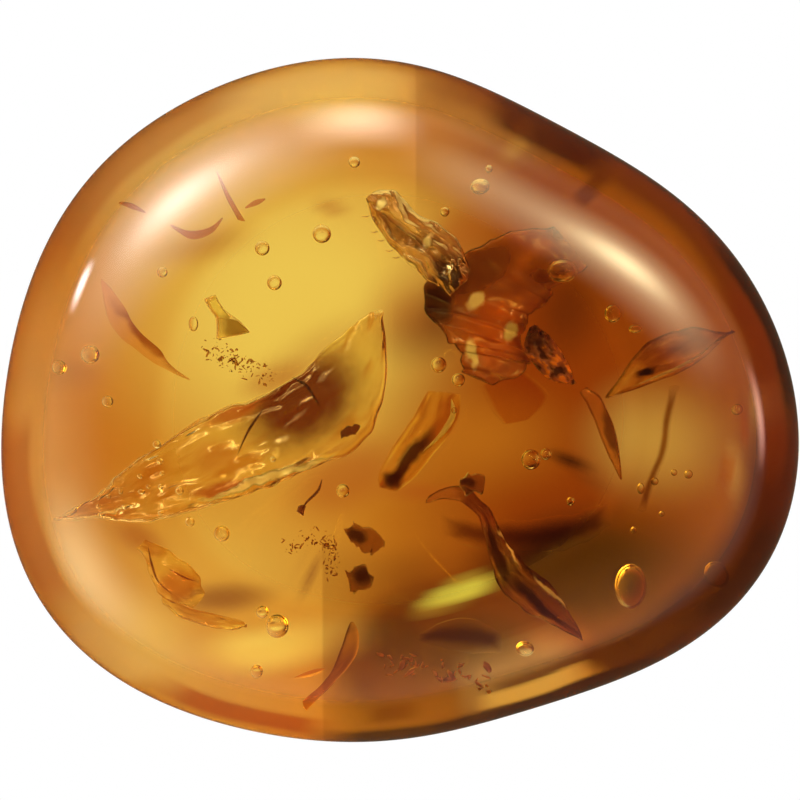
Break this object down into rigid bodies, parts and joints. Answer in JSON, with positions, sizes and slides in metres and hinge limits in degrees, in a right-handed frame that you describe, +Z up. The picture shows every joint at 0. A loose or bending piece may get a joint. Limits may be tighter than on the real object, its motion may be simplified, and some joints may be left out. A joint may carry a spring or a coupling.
{
  "type": "amber pebble",
  "caption": "Smooth rounded pebble of clear honey to cognac amber with sealed leaf, husk, seed and bark scraps and air bubbles, flat underneath to lie on a surface.",
  "frame": {"origin": "middle of the bounding box at its bottom, on the flat underside", "axes": "+X along the pebble's length, +Y across it, +Z up from the flat underside"},
  "size_m": [0.048, 0.0412, 0.02],
  "materials": {
    "amber": "clear polished amber",
    "leaf": "dry leaf and stem",
    "husk": "dry husk",
    "bark": "dark bark"
  },
  "bodies": {
    "root": {"amber_lower": "amber", "amber_upper": "amber", "bark_flake": "husk", "bark_scrap": "bark", "bark_strip": "bark", "chip_lower": "bark", "chip_middle": "bark", "chip_upper": "bark", "crumbs_bottom": "bark", "crumbs_lower": "bark", "crumbs_upper": "bark", "curved_stem": "leaf", "fleck_curved": "leaf", "fleck_left": "leaf", "fleck_right": "leaf", "grass_blade": "leaf", "husk": "husk", "large_leaf": "leaf", "leaf_scrap": "leaf", "needle": "leaf", "pale_chip": "leaf", "pod": "husk", "rootlet": "leaf", "rootlet_branch": "leaf", "seed": "bark", "sliver": "leaf", "thin_stem": "leaf", "thread_curl": "leaf", "twisted_strip": "bark"}
  },
  "joints": []
}
